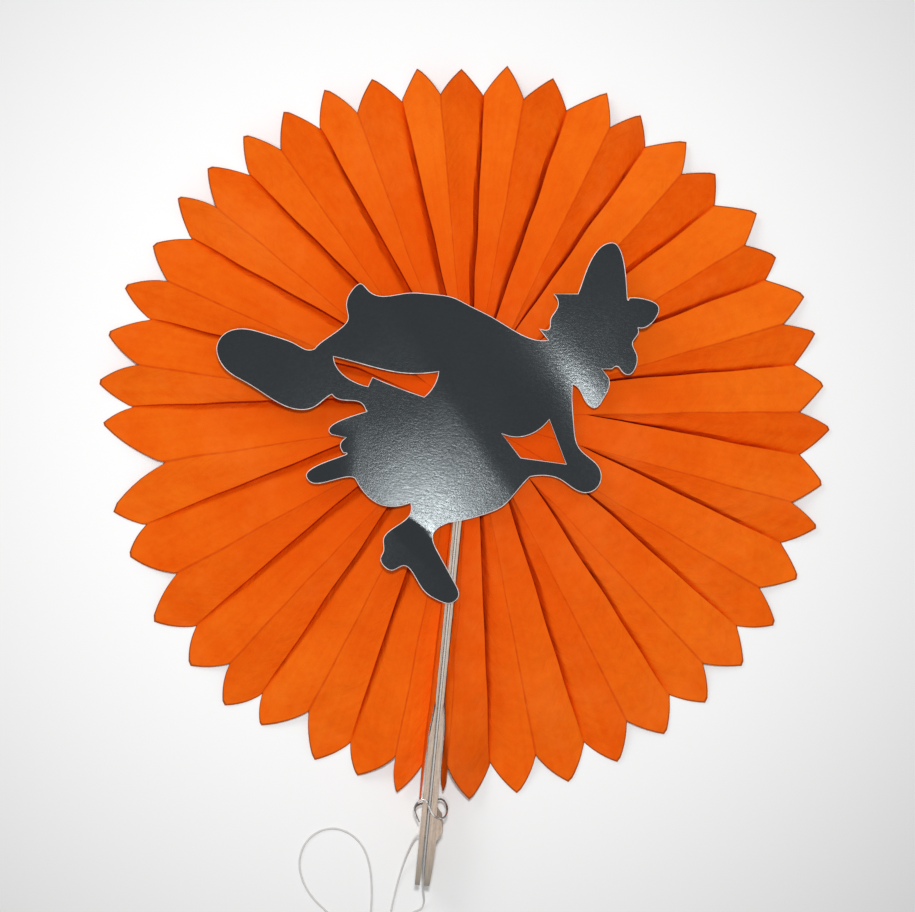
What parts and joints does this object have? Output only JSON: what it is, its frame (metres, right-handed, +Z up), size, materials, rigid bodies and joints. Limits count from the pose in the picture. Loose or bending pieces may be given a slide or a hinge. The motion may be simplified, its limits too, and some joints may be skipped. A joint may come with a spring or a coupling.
{
  "type": "paper fan rosette",
  "caption": "Pleated paper fan opened into a round rosette with a petal-cut rim, stiff guards joined by a split ring, a hanging string and a flying figure cut from card on top.",
  "frame": {"origin": "on the rosette's axis, in the plane that it rests on", "axes": "+Z up out of the front, the way the figure faces; -Y along the guards towards the ring and the string; +X to the figure's flying side"},
  "size_m": [0.3072, 0.372, 0.0209],
  "materials": {
    "orange_paper": "matt dyed paper with soft creases",
    "greyboard": "bare matt greyboard, torn at one edge",
    "ring_steel": "plated spring wire",
    "black_card": "black card with a soft sheen and a white core at its cut edge",
    "cotton_string": "twisted undyed string"
  },
  "bodies": {
    "root": {"pleated_paper": "orange_paper", "guard_left": "greyboard", "guard_right": "greyboard", "split_ring": "ring_steel", "figure_card": "black_card", "hanging_string": "cotton_string"}
  },
  "joints": []
}
